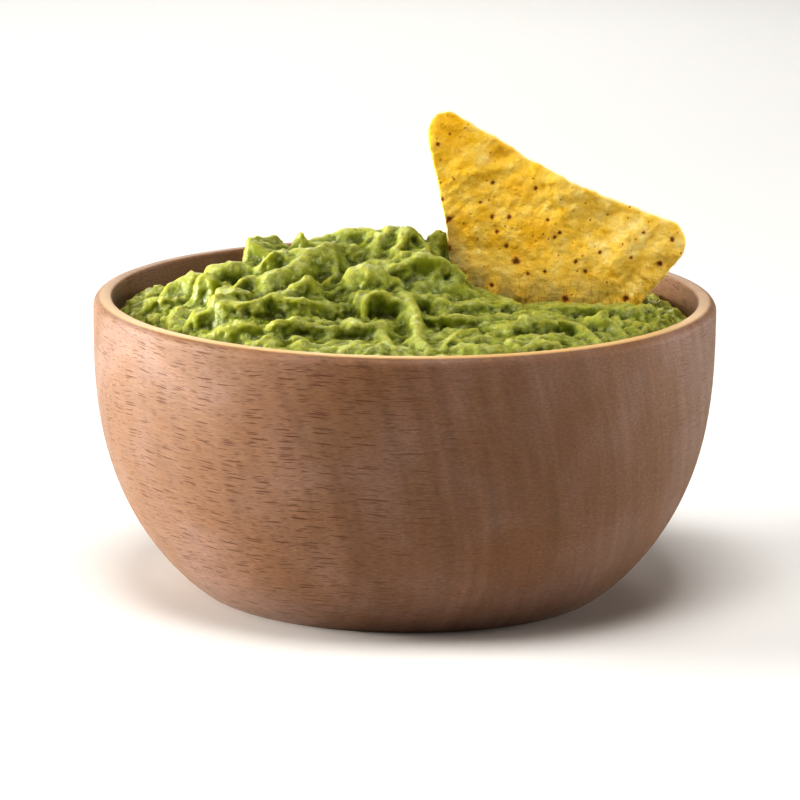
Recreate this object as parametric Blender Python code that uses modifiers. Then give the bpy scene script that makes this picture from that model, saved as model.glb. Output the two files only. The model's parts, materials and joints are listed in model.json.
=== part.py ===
"""Guacamole in a turned wooden bowl, with one tortilla chip standing in it.

Metres, +Z up. The origin is the centre of the bowl's foot, and the front is towards -Y.
"""

from math import cos, exp, hypot, inf, pi, radians, sin, sqrt, tan

import bmesh
import bpy
from mathutils import Vector
from mathutils.geometry import intersect_point_line

MM = 0.001

# Bowl
RIM_RADIUS = 65.0 * MM
BOWL_HEIGHT = 61.8 * MM
FOOT_RADIUS = 42.0 * MM
LIP_THICKNESS = 3.9 * MM
LIP_OUTER_FILLET = 2.0 * MM
LIP_INNER_FILLET = 0.6 * MM
FLOOR_THICKNESS = 7.0 * MM
INNER_FOOT_RADIUS = 33.0 * MM
WALL_RISE_POWER = 2.87      # how soon the wall turns upright
WALL_SPREAD_POWER = 1.136   # how full the belly is
BOWL_SEGMENTS = 60
OUTER_WALL_ROWS = 8
INNER_WALL_ROWS = 7

# Guacamole: heights are counted from the rim's plane
SEAT_GAP = 0.55 * MM        # between the smooth wall and the guacamole
EDGE_DEPTH = 4.5 * MM       # mean depth of its edge below the rim
EDGE_TILT = 3.5 * MM        # deeper by this at the back, shallower at the front
LEFT_GAP_DEPTH = 2.0 * MM   # deeper by this at the left end
LEFT_GAP_SHARPNESS = 6      # how quickly that fades away from the left end
SETTLE_SHARPNESS = 14       # how near the wall the folds sink to the edge
PLATEAU_DEPTH = 0.8 * MM
BACK_FALL = 0.16            # slope of the plateau behind the mound
MOUND_HEIGHT = 11.0 * MM
MOUND_CENTRE = (-10.0 * MM, 3.0 * MM)
MOUND_REACH = (27.0 * MM, 20.0 * MM)
GRID_CELLS = 42
SIDE_ROWS = 5
FOLD_TIP = 0.8 * MM         # radius of a fold's crest
FOLD_OUTER_SLOPE = 1.9      # a fold drops steeply on the side away from the mound
FOLD_INNER_SLOPE = 0.45     # and lies back gently towards it
FOLD_BLEND = 0.7 * MM       # softness of the creases between folds
FOLD_CENTRE = (-8.0 * MM, 9.0 * MM)   # the folds' steep sides face away from here

# Tortilla chip: corners as (x, height over the rim), standing nearly upright
CHIP_CORNERS = ((2.7 * MM, 41.9 * MM), (61.8 * MM, 13.1 * MM), (16.0 * MM, -33.8 * MM))
CHIP_CORNER_RADII = (4.1 * MM, 4.8 * MM, 4.0 * MM)
CHIP_EDGE_BOWS = (1.7 * MM, -1.3 * MM, 0.8 * MM)   # how far each side pulls in
CHIP_THICKNESS = 1.7 * MM
CHIP_PLACE = -3.0 * MM      # y where the chip meets the rim's plane
CHIP_LEAN = 0.14            # it leans back by this much for each metre of height
CHIP_CURL = 2.2             # curvature that turns both sides back, in 1/m
CHIP_CLEARANCE = 0.4 * MM
CHIP_ARC_POINTS = 6
CHIP_EDGE_POINTS = 11
CHIP_ROWS = 9
CHIP_EDGE_ROUNDNESS = 0.35   # smaller is squarer

# How high the guacamole comes against the chip's front: (x, height over the rim) in millimetres
CHIP_SEAT = ((7, 14), (8.6, 12), (11.4, 6), (14.3, 3), (20, 0.3),
             (24.5, -1.3), (29, -0.9), (46, -0.6), (52, 2), (56, 6))
CHIP_SEAT_RISE = 0.24       # it may stand higher by this much for each metre in front of the chip

# Crest lines of the folds in front, from the top down: (x, y, height over the rim) in millimetres
FOLDS = {
    "ridge_top": [(-17.5, 2, 12), (-13.5, 2, 13.5), (-9.5, 2, 14), (-4.5, 0, 14.8)],
    "shell_top": [(-4.5, 0, 14.8), (0.5, 0, 14.7), (4, -4, 12.5)],
    "shell_lip": [(-7, -12, 10.8), (-1, -10, 12), (4, -8, 13)],
    "peak_left": [(-33.5, -2, 7), (-32, -4, 12.3), (-29.5, -8, 10)],
    "peak_middle": [(-23.5, -2, 10.5), (-22, -2, 13.8), (-19.5, -3, 12)],
    "small_ridge": [(-28.5, -14, 9), (-26, -12, 11.5), (-24, -10, 10.8)],
    "far_left": [(-51, -4, 1.5), (-47, -3, 4.4), (-43.5, -4, 6)],
    "shoulder": [(-38, -8, 8), (-34, -8, 8.6), (-30.5, -9, 8)],
    "finger": [(-44, -6, 6.5), (-42, -10, 7.3), (-39, -22, 3)],
    "leaf": [(-28, -21, 8.7), (-22, -18, 10.3), (-16, -9, 13), (-15, -16, 10)],
    "leaf_foot": [(-24.5, -27, 6), (-19, -24, 7.5)],
    "tongue": [(-4.5, -15, 9.7), (-1, -15, 10.6), (3, -14, 11.7), (7, -14, 11), (11, -13, 8.2)],
    "bulb": [(-9.5, -20, 10.4), (-7, -20, 10.4)],
    "slope": [(3, -18, 6.8), (10, -16, 5.9), (18, -12, 2.4)],
    "long_left": [(-43, -30, 2), (-37.5, -31, 7.7), (-33, -33, 5.4), (-26, -32, 6.7), (-19.5, -33, 5.6)],
    "arch": [(-9, -32, 4.9), (-6, -28, 6.8), (-2.5, -28, 5.8), (-1, -30, 4.1)],
    "rib": [(0.5, -28, 6.2), (2, -40, 3), (4.5, -54, -0.4)],
    "long_right": [(4, -34, 2.7), (13, -33, 2.6), (22, -31, 2.5), (31.5, -30, 2.2)],
    "left_end": [(-54.5, -10, 1.5), (-51, -9, 3), (-49, -12, 2.4)],
    "left_lump": [(-48, -31, 0), (-46.5, -22, 2.6)],
    "right_mid": [(29, -20, 2.5), (40, -16, 1.8)],
    "right_end": [(49, -14, 2.3), (53.5, -12, 1.5), (52, -26, 0)],
    "right_knob": [(39, -30, 2.5), (42, -28, 2.5)],
    "step_left": [(-43, -37, 0), (-35, -42, 3), (-20, -43, 2.8), (-14, -43, 1.5)],
    "block": [(-11, -40, 2.5), (-5, -40, 3)],
    "low_left": [(-30, -50, 0.5), (-17.5, -51, 1)],
    "low_middle": [(-14, -54, -0.2), (-6.5, -54, 0.7), (-1.5, -56, -0.4)],
    "hook": [(5.5, -52, 0.5), (10.5, -45, 1.7), (19, -48, 1.4)],
    "low_right": [(10, -54, 0.3), (24, -52, 0.9), (38, -41, 0.8), (46, -36, -0.6)],
}


# Folds behind the top, in rows round it: radius of the row, first and last angle, how many
BACK_ROWS = (
    (14.0 * MM, 30, 160, 2),
    (24.0 * MM, 10, 175, 5),
    (35.0 * MM, 8, 165, 6),
    (48.0 * MM, 4, 62, 3),
)
BACK_FOLD_LENGTH = 13.0 * MM
BACK_FOLD_RISE = 3.2 * MM
BACK_FOLD_END_RISE = 1.45 * MM
BACK_FOLD_UNEVENNESS = 0.35  # how much their lengths differ, as a share
BACK_FOLD_SWING = 2.5 * MM


def new_collection(name):
    collection = bpy.data.collections.new(name)
    bpy.context.scene.collection.children.link(collection)
    return collection


def new_material(name, colour, roughness, sheen=0.0):
    material = bpy.data.materials.new(name)
    material.use_nodes = True
    shader = material.node_tree.nodes["Principled BSDF"]
    shader.inputs["Base Color"].default_value = (*colour, 1.0)
    shader.inputs["Roughness"].default_value = roughness
    shader.inputs["Metallic"].default_value = 0.0
    shader.inputs["Sheen Weight"].default_value = sheen
    return material


def new_object(name, mesh, collection, material=None):
    thing = bpy.data.objects.new(name, mesh)
    collection.objects.link(thing)
    if material:
        mesh.materials.append(material)
    return thing


def shade_round(mesh, degrees):
    mesh.shade_smooth()
    mesh.set_sharp_from_angle(angle=radians(degrees))


def wall_radius(height, foot, rim, span):
    """Radius of a wall that leaves its foot flat and is upright after `span` of height."""
    rise = min(max(height / span, 0.0), 1.0)
    return foot + (rim - foot) * (1 - (1 - rise) ** WALL_RISE_POWER) ** (1 / WALL_SPREAD_POWER)


def wall_heights(span, rows):
    """Heights that follow the wall's turn closely, from the foot up to the upright part."""
    quarter_turns = (pi / 2 * row / rows for row in range(rows + 1))
    return [span * (1 - max(cos(angle), 0.0) ** (2 / WALL_RISE_POWER)) for angle in quarter_turns]


def inner_radius(height):
    span = BOWL_HEIGHT - LIP_INNER_FILLET - FLOOR_THICKNESS
    return wall_radius(height - FLOOR_THICKNESS, INNER_FOOT_RADIUS, RIM_RADIUS - LIP_THICKNESS, span)


def fillet(centre, radius, start, end, points=4):
    steps = (start + (end - start) * step / (points - 1) for step in range(points))
    return [(centre[0] + radius * cos(angle), centre[1] + radius * sin(angle)) for angle in steps]


def bowl_profile():
    """Half section from the floor's centre over the lip to the foot's centre."""
    inner_span = BOWL_HEIGHT - LIP_INNER_FILLET - FLOOR_THICKNESS
    inner = [(inner_radius(FLOOR_THICKNESS + height), FLOOR_THICKNESS + height)
             for height in wall_heights(inner_span, INNER_WALL_ROWS)]
    inner_lip = fillet((RIM_RADIUS - LIP_THICKNESS + LIP_INNER_FILLET, BOWL_HEIGHT - LIP_INNER_FILLET),
                       LIP_INNER_FILLET, pi, pi / 2)
    outer_lip = fillet((RIM_RADIUS - LIP_OUTER_FILLET, BOWL_HEIGHT - LIP_OUTER_FILLET),
                       LIP_OUTER_FILLET, pi / 2, 0)
    outer_span = BOWL_HEIGHT - LIP_OUTER_FILLET
    outer = [(wall_radius(height, FOOT_RADIUS, RIM_RADIUS, outer_span), height)
             for height in wall_heights(outer_span, OUTER_WALL_ROWS)]
    outer.reverse()
    return [(0, FLOOR_THICKNESS)] + inner[:-1] + inner_lip + outer_lip + outer[1:] + [(0, 0)]


def make_bowl(collection):
    mesh = bpy.data.meshes.new("bowl")
    points = [(radius, 0, height) for radius, height in bowl_profile()]
    edges = [(index, index + 1) for index in range(len(points) - 1)]
    mesh.from_pydata(points, edges, [])
    bowl = new_object("bowl", mesh, collection, new_material("beech", (0.53, 0.32, 0.19), 0.55))
    turning = bowl.modifiers.new("turning", "SCREW")
    turning.axis = "Z"
    turning.steps = BOWL_SEGMENTS
    turning.render_steps = BOWL_SEGMENTS
    turning.use_merge_vertices = True
    turning.merge_threshold = 0.01 * MM
    turning.use_smooth_shade = True
    return bowl


def soft_drop(distance, slope):
    """Drop below a rounded crest: it starts level and settles to a steady slope."""
    round_part = FOLD_TIP * slope
    return slope * (sqrt(distance * distance + round_part * round_part) - round_part)


def fold_height(place, crest):
    """Height of one fold's surface over a place in plan."""
    nearest = None
    for start, end in zip(crest, crest[1:]):
        flat_start, flat_end = Vector(start[:2]), Vector(end[:2])
        _, part = intersect_point_line(place, flat_start, flat_end)
        part = min(max(part, 0.0), 1.0)
        foot = flat_start.lerp(flat_end, part)
        distance = (place - foot).length
        if nearest is None or distance < nearest[0]:
            nearest = (distance, start[2] + (end[2] - start[2]) * part, foot)
    distance, crest_height, foot = nearest
    inward = (Vector(FOLD_CENTRE) - foot).normalized()
    behind = 0.0 if distance == 0 else max((place - foot).dot(inward) / distance, 0.0)
    slope = FOLD_OUTER_SLOPE + (FOLD_INNER_SLOPE - FOLD_OUTER_SLOPE) * behind
    return crest_height - soft_drop(distance, slope)


def blend_up(one, other):
    """The higher of two heights, with the crease between them softened."""
    overlap = max(FOLD_BLEND - abs(one - other), 0.0) / FOLD_BLEND
    return max(one, other) + overlap * overlap * FOLD_BLEND / 4


def mound_height(place):
    across = (place.x - MOUND_CENTRE[0]) / MOUND_REACH[0]
    along = (place.y - MOUND_CENTRE[1]) / MOUND_REACH[1]
    mound = MOUND_HEIGHT * exp(-across * across - along * along)
    back = BACK_FALL * max(place.y - MOUND_CENTRE[1], 0.0)
    return mound - PLATEAU_DEPTH - back


def back_folds():
    """Short curved crests in rows behind the top, each row set off from the one before."""
    crests = []
    for row, (radius, first, last, count) in enumerate(BACK_ROWS):
        for item in range(count):
            middle = radians(first + (last - first) * (item + 0.5) / count)
            reach = BACK_FOLD_LENGTH * (1 + BACK_FOLD_UNEVENNESS * sin(5 * item + 2 * row)) / 2 / radius
            swing = BACK_FOLD_SWING * sin(3 * item + row)
            crest = []
            for end in (-1, 0, 1):
                arm = radius + swing * end
                angle = middle + reach * end
                place = Vector(FOLD_CENTRE) + arm * Vector((cos(angle), sin(angle)))
                rise = BACK_FOLD_RISE if end == 0 else BACK_FOLD_END_RISE
                crest.append(Vector((*place, mound_height(place) + rise)))
            crests.append(crest)
    return crests


def top_height(place, crests):
    height = mound_height(place)
    for crest in crests:
        height = blend_up(height, fold_height(place, crest))
    return min(height, seat_height(place))


def seat_height(place):
    """The highest level in front of the chip at which its lower part still shows."""
    across = place.x / MM
    if place.y > CHIP_PLACE or across < CHIP_SEAT[0][0]:
        return inf
    for before, after in zip(CHIP_SEAT, CHIP_SEAT[1:]):
        if across <= after[0]:
            break
    part = min((across - before[0]) / (after[0] - before[0]), 1.0)
    level = before[1] + (after[1] - before[1]) * part
    return level * MM + CHIP_SEAT_RISE * (CHIP_PLACE - place.y)


def edge_height(direction):
    """Height of the guacamole where it meets the wall."""
    left = max(-direction.x, 0.0) ** LEFT_GAP_SHARPNESS
    return -EDGE_DEPTH - EDGE_TILT * direction.y - LEFT_GAP_DEPTH * left


def shape_top(grid):
    """Turns the square grid into a disc that reaches the wall, and raises its folds."""
    crests = [[Vector(point) * MM for point in line] for line in FOLDS.values()] + back_folds()
    for vertex in grid.verts:
        across, along = vertex.co.x, vertex.co.y
        disc = Vector((across * sqrt(1 - along * along / 2), along * sqrt(1 - across * across / 2)))
        reach = disc.length
        direction = disc.normalized() if reach else Vector((0, -1))
        edge = edge_height(direction)
        place = disc * (inner_radius(BOWL_HEIGHT + edge) - SEAT_GAP)
        settle = min(reach, 1.0) ** SETTLE_SHARPNESS
        height = top_height(place, crests) * (1 - settle) + edge * settle
        vertex.co = (place.x, place.y, BOWL_HEIGHT + height)


def lower_sides(grid):
    """Extrudes the disc's edge down the inside of the wall, and closes it on the floor."""
    floor = FLOOR_THICKNESS + SEAT_GAP
    rows = wall_heights(BOWL_HEIGHT - EDGE_DEPTH - floor, SIDE_ROWS)
    rows.reverse()
    rim = [edge for edge in grid.edges if edge.is_boundary]
    for upper, lower in zip(rows, rows[1:]):
        pulled = bmesh.ops.extrude_edge_only(grid, edges=rim)["geom"]
        rim = [item for item in pulled if isinstance(item, bmesh.types.BMEdge)]
        share = lower / upper
        for vertex in {vertex for edge in rim for vertex in edge.verts}:
            height = floor + (vertex.co.z - floor) * share
            radius = inner_radius(height) - SEAT_GAP
            scale = radius / hypot(vertex.co.x, vertex.co.y)
            vertex.co = (vertex.co.x * scale, vertex.co.y * scale, height)
    bmesh.ops.contextual_create(grid, geom=rim)


def make_guacamole(collection, cutter):
    mesh = bpy.data.meshes.new("guacamole")
    grid = bmesh.new()
    bmesh.ops.create_grid(grid, x_segments=GRID_CELLS, y_segments=GRID_CELLS, size=1.0)
    shape_top(grid)
    lower_sides(grid)
    bmesh.ops.recalc_face_normals(grid, faces=grid.faces)
    grid.to_mesh(mesh)
    grid.free()
    shade_round(mesh, 50)
    material = new_material("mashed_avocado", (0.20, 0.24, 0.045), 0.4)
    guacamole = new_object("guacamole", mesh, collection, material)
    slot = guacamole.modifiers.new("chip_slot", "BOOLEAN")
    slot.operation = "DIFFERENCE"
    slot.solver = "EXACT"
    slot.object = cutter
    return guacamole


def corner_arc(corner, before, after, radius):
    """Points round one corner of an outline, tangent to both of its sides."""
    to_before, to_after = (before - corner).normalized(), (after - corner).normalized()
    half_angle = to_before.angle(to_after) / 2
    bisector = (to_before + to_after).normalized()
    centre = corner + bisector * radius / sin(half_angle)
    first = (corner + to_before * radius / tan(half_angle)) - centre
    last = (corner + to_after * radius / tan(half_angle)) - centre
    turn = first.angle_signed(last)
    steps = (turn * step / (CHIP_ARC_POINTS - 1) for step in range(CHIP_ARC_POINTS))
    turned = (Vector((first.x * cos(angle) + first.y * sin(angle),
                      first.y * cos(angle) - first.x * sin(angle))) for angle in steps)
    return [centre + arm for arm in turned]


def chip_outline(grow):
    """The chip's outline in its own plane: round corners, and sides that pull in a little."""
    corners = [Vector(corner) for corner in CHIP_CORNERS]
    middle = sum(corners, Vector((0, 0))) / len(corners)
    arcs = []
    for index, radius in enumerate(CHIP_CORNER_RADII):
        after = corners[(index + 1) % len(corners)]
        arcs.append(corner_arc(corners[index], corners[index - 1], after, radius))
    outline = []
    for index, arc in enumerate(arcs):
        start, end = arc[-1], arcs[(index + 1) % len(arcs)][0]
        inward = (middle - (start + end) / 2).normalized()
        outline += arc
        for step in range(1, CHIP_EDGE_POINTS + 1):
            part = step / (CHIP_EDGE_POINTS + 1)
            outline.append(start.lerp(end, part) + inward * CHIP_EDGE_BOWS[index] * sin(pi * part))
    return middle, [point + (point - middle).normalized() * grow for point in outline]


def chip_mesh(name, grow):
    """A flattened sphere whose rows become rings of the outline, bent as the chip is."""
    middle, outline = chip_outline(grow)
    half_thickness = CHIP_THICKNESS / 2 + grow
    ball = bmesh.new()
    bmesh.ops.create_uvsphere(ball, u_segments=len(outline), v_segments=CHIP_ROWS, radius=1.0)
    turn = 2 * pi / len(outline)
    for vertex in ball.verts:
        side = min(max(vertex.co.z, -1.0), 1.0)
        reach = sqrt(1 - side * side)
        index = round(Vector((1, 0)).angle_signed(vertex.co.xy, 0.0) / turn) % len(outline)
        place = middle.lerp(outline[index], reach)
        swell = half_thickness * abs(side) ** CHIP_EDGE_ROUNDNESS * (-1 if side > 0 else 1)
        curl = CHIP_CURL * (place.x - middle.x) ** 2
        depth = CHIP_PLACE + CHIP_LEAN * place.y + curl + swell
        vertex.co = (place.x, depth, BOWL_HEIGHT + place.y)
    mesh = bpy.data.meshes.new(name)
    ball.to_mesh(mesh)
    ball.free()
    return mesh


def make_chip(collection):
    mesh = chip_mesh("tortilla_chip", 0.0)
    shade_round(mesh, 60)
    fried_corn = new_material("fried_corn", (0.80, 0.51, 0.08), 0.6)
    return new_object("tortilla_chip", mesh, collection, fried_corn)


def make_chip_cutter(collection):
    cutter = new_object("chip_cutter", chip_mesh("chip_cutter", CHIP_CLEARANCE), collection)
    cutter.display_type = "WIRE"
    cutter.hide_render = True
    return cutter


def main():
    for thing in list(bpy.data.objects):
        bpy.data.objects.remove(thing)
    parts = new_collection("guacamole_bowl")
    cutters = new_collection("cutters")
    make_bowl(parts)
    make_guacamole(parts, make_chip_cutter(cutters))
    make_chip(parts)


main()
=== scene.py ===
import json
import math

import bpy
import numpy as np
from mathutils import Euler, Matrix, Vector, noise

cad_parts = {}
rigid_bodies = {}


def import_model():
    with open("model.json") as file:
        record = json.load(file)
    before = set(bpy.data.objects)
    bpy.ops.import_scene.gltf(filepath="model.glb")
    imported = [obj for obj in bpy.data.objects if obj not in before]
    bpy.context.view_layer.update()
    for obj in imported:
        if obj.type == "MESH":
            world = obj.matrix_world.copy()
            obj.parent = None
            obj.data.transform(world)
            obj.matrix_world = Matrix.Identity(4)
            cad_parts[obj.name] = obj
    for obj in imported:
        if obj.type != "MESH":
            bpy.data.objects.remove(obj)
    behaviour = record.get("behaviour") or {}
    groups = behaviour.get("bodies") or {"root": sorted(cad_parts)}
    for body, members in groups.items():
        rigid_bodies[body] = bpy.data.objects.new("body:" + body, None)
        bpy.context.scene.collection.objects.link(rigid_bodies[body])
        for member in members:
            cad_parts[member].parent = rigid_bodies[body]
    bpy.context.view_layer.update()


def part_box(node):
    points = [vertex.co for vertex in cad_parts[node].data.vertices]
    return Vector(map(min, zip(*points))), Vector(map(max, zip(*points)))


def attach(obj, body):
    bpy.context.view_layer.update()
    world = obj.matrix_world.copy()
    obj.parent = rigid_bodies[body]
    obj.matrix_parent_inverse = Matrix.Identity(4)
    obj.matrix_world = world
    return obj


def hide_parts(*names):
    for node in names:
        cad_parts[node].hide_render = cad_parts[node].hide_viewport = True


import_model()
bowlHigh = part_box("bowl")[1]
mm = 0.001
rimRadius = bowlHigh.x
rimHeight = bowlHigh.z
noise.seed_set(3)   # the vector noise is otherwise seeded by the clock


def deselectAll():
    for thing in bpy.data.objects:
        thing.select_set(False)


def activeObject(name):
    thing = bpy.context.active_object
    thing.name = name
    thing.data.name = name
    return thing


def getPoints(thing):
    flat = np.empty(len(thing.data.vertices) * 3)
    thing.data.vertices.foreach_get("co", flat)
    return flat.reshape(-1, 3)


def setPoints(thing, points):
    thing.data.vertices.foreach_set("co", points.ravel())
    thing.data.update()


def getNormals(thing):
    flat = np.empty(len(thing.data.vertices) * 3)
    thing.data.vertex_normals.foreach_get("vector", flat)
    return flat.reshape(-1, 3)


def applyModifier(thing, kind, **settings):
    modifier = thing.modifiers.new(kind.lower(), kind)
    for name, value in settings.items():
        setattr(modifier, name, value)
    deselectAll()
    thing.select_set(True)
    bpy.context.view_layer.objects.active = thing
    bpy.ops.object.modifier_apply(modifier=modifier.name)


def noiseAt(points, size, seed=0.0):
    shift = Vector((seed * 7.3, seed * 3.1, seed * 5.7))
    return np.array([noise.noise(Vector(point) / size + shift) for point in points])


def warpAt(points, size, seed=0.0):
    shift = Vector((seed * 4.7, seed * 9.2, seed * 1.9))
    return np.array([noise.noise_vector(Vector(point) / size + shift) for point in points])


def smoothed(points, edges, rounds):
    count = np.bincount(edges.ravel(), minlength=len(points)).astype(float)[:, None]
    for _ in range(rounds):
        total = np.zeros_like(points)
        for axis in range(3):
            total[:, axis] = (np.bincount(edges[:, 0], points[edges[:, 1], axis], len(points))
                              + np.bincount(edges[:, 1], points[edges[:, 0], axis], len(points)))
        points = 0.5 * points + 0.5 * total / count
    return points


def edgeArray(thing):
    flat = np.empty(len(thing.data.edges) * 2, dtype=np.int32)
    thing.data.edges.foreach_get("vertices", flat)
    return flat.reshape(-1, 2)


def storeValue(thing, name, values):
    layer = thing.data.attributes.new(name, "FLOAT", "POINT")
    layer.data.foreach_set("value", values.astype(np.float32))


def hexColour(code):
    def linear(part):
        value = int(part, 16) / 255
        return value / 12.92 if value <= 0.04045 else ((value + 0.055) / 1.055) ** 2.4
    return (linear(code[0:2]), linear(code[2:4]), linear(code[4:6]), 1.0)


def addNode(tree, kind, links=None, ramp=None, **settings):
    node = tree.nodes.new("ShaderNode" + kind)   # every kind's full name starts this way
    for name, value in settings.items():
        setattr(node, name, value)
    for socket, source in (links or {}).items():
        if isinstance(source, bpy.types.NodeSocket):
            tree.links.new(source, node.inputs[socket])
        else:
            node.inputs[socket].default_value = source
    if ramp:
        points = node.color_ramp.elements
        while len(points) < len(ramp):
            points.new(0.5)
        for point, (place, code) in zip(points, ramp):
            point.position = place
            point.color = hexColour(code)
    return node


def newMaterial(name):
    material = bpy.data.materials.new(name)
    material.use_nodes = True
    tree = material.node_tree
    tree.nodes.clear()
    return material, tree


def finishPiece(piece, node, material):
    piece.data.materials.clear()
    piece.data.materials.append(material)
    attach(piece, "root")
    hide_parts(node)


bowl = {   # its height and its rim's radius come from the CAD piece
    "footRadius": 42 * mm,
    "lip": 3.9 * mm,
    "outerFillet": 2.0 * mm,
    "innerFillet": 0.6 * mm,
    "floor": 7 * mm,
    "innerFoot": 33 * mm,
    "risePower": 2.87,       # the two powers set how round the wall is
    "spreadPower": 1.136,
    "wallRows": 34,
    "steps": 192,
    "weld": 0.001 * mm,
}


def wallRadius(height, foot, rim, span):
    rise = np.clip(height / span, 0, 1)
    return foot + (rim - foot) * (1 - (1 - rise) ** bowl["risePower"]) ** (1 / bowl["spreadPower"])


def wallHeights(span, rows):
    turns = np.linspace(0, math.pi / 2, rows + 1)
    return span * (1 - np.maximum(np.cos(turns), 0) ** (2 / bowl["risePower"]))


def innerRadius(height):
    span = rimHeight - bowl["innerFillet"] - bowl["floor"]
    return wallRadius(height - bowl["floor"], bowl["innerFoot"], rimRadius - bowl["lip"], span)


def arc(centre, radius, start, end, count=7):
    turns = np.linspace(math.radians(start), math.radians(end), count)
    return [(centre[0] + radius * math.cos(turn), centre[1] + radius * math.sin(turn)) for turn in turns]


def bowlProfile():
    innerSpan = rimHeight - bowl["innerFillet"] - bowl["floor"]
    outerSpan = rimHeight - bowl["outerFillet"]
    inner = [(float(innerRadius(bowl["floor"] + rise)), bowl["floor"] + rise)
             for rise in wallHeights(innerSpan, bowl["wallRows"])]
    outer = [(float(wallRadius(rise, bowl["footRadius"], rimRadius, outerSpan)), rise)
             for rise in wallHeights(outerSpan, bowl["wallRows"])]
    innerLip = arc((rimRadius - bowl["lip"] + bowl["innerFillet"], innerSpan + bowl["floor"]),
                   bowl["innerFillet"], 180, 90)
    outerLip = arc((rimRadius - bowl["outerFillet"], outerSpan), bowl["outerFillet"], 90, 0)
    return [(0, bowl["floor"])] + inner[:-1] + innerLip + outerLip + outer[-2::-1] + [(0, 0)]


def turnBowl():
    profile = bowlProfile()
    deselectAll()
    bpy.ops.mesh.primitive_plane_add(size=2 * mm, location=(0, 0, profile[0][1]))
    piece = activeObject("turned_bowl")
    bpy.ops.object.transform_apply(location=True, rotation=True, scale=True)
    bpy.ops.object.mode_set(mode="EDIT")
    bpy.ops.mesh.select_all(action="SELECT")
    bpy.ops.mesh.merge(type="CENTER")
    for (radius, height), (nextRadius, nextHeight) in zip(profile, profile[1:]):
        step = (nextRadius - radius, 0, nextHeight - height)
        bpy.ops.mesh.extrude_region_move(TRANSFORM_OT_translate={"value": step})
    bpy.ops.mesh.select_all(action="SELECT")
    bpy.ops.mesh.spin(steps=bowl["steps"], angle=2 * math.pi, center=(0, 0, 0), axis=(0, 0, 1))
    bpy.ops.mesh.select_all(action="SELECT")
    bpy.ops.mesh.remove_doubles(threshold=bowl["weld"])
    bpy.ops.mesh.normals_make_consistent(inside=False)
    bpy.ops.object.mode_set(mode="OBJECT")
    bpy.ops.object.shade_smooth()
    return piece


wood = {
    "grainTurn": 54,          # degrees from +X towards the front
    "grainTilt": -16,         # degrees that the yearly rings lean
    "streak": (60 * mm, 2.4 * mm, 34 * mm),    # along the grain, across it and upright
    "fibre": (8 * mm, 1.0 * mm, 0.42 * mm),    # the same three ways
    "blotch": 16 * mm,
    "swayLength": 22 * mm,
    "waviness": 1.3 * mm,
    "rayDepth": 18 * mm,
    "lipBand": (0.25 * mm, 0.05 * mm),   # how far under the top the painted lip highlight and polish start, and reach full strength
    "lipLightRange": (20 * mm, -40 * mm),      # painted lip highlight and polish weakest behind the first place in Y, strongest before the second
    "rays": {"long": (6 * mm, 0.4 * mm, 0.75), "short": (3.2 * mm, 0.3 * mm, 0.6),
             "fine": (1.8 * mm, 0.22 * mm, 0.42)},   # length, height, strength
}


def rayAmount(tree, grain, length, height, strength):
    size = addNode(tree, "Mapping", {"Vector": grain,
                                     "Scale": (1 / length, 1 / wood["rayDepth"], 1 / height)})
    rays = addNode(tree, "TexVoronoi", {"Vector": size.outputs[0], "Scale": 1.0})
    cell = addNode(tree, "SeparateColor", {"Color": rays.outputs["Color"]})
    width = addNode(tree, "MapRange", {"Value": cell.outputs[0], "From Min": 0.15, "From Max": 1.0,
                                       "To Min": 0.08, "To Max": 0.4})
    inside = addNode(tree, "Math", {0: width.outputs[0], 1: rays.outputs["Distance"]}, operation="SUBTRACT")
    return addNode(tree, "MapRange", {"Value": inside.outputs[0], "From Min": 0.0, "From Max": 0.1,
                                      "To Max": strength}).outputs[0]


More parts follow.
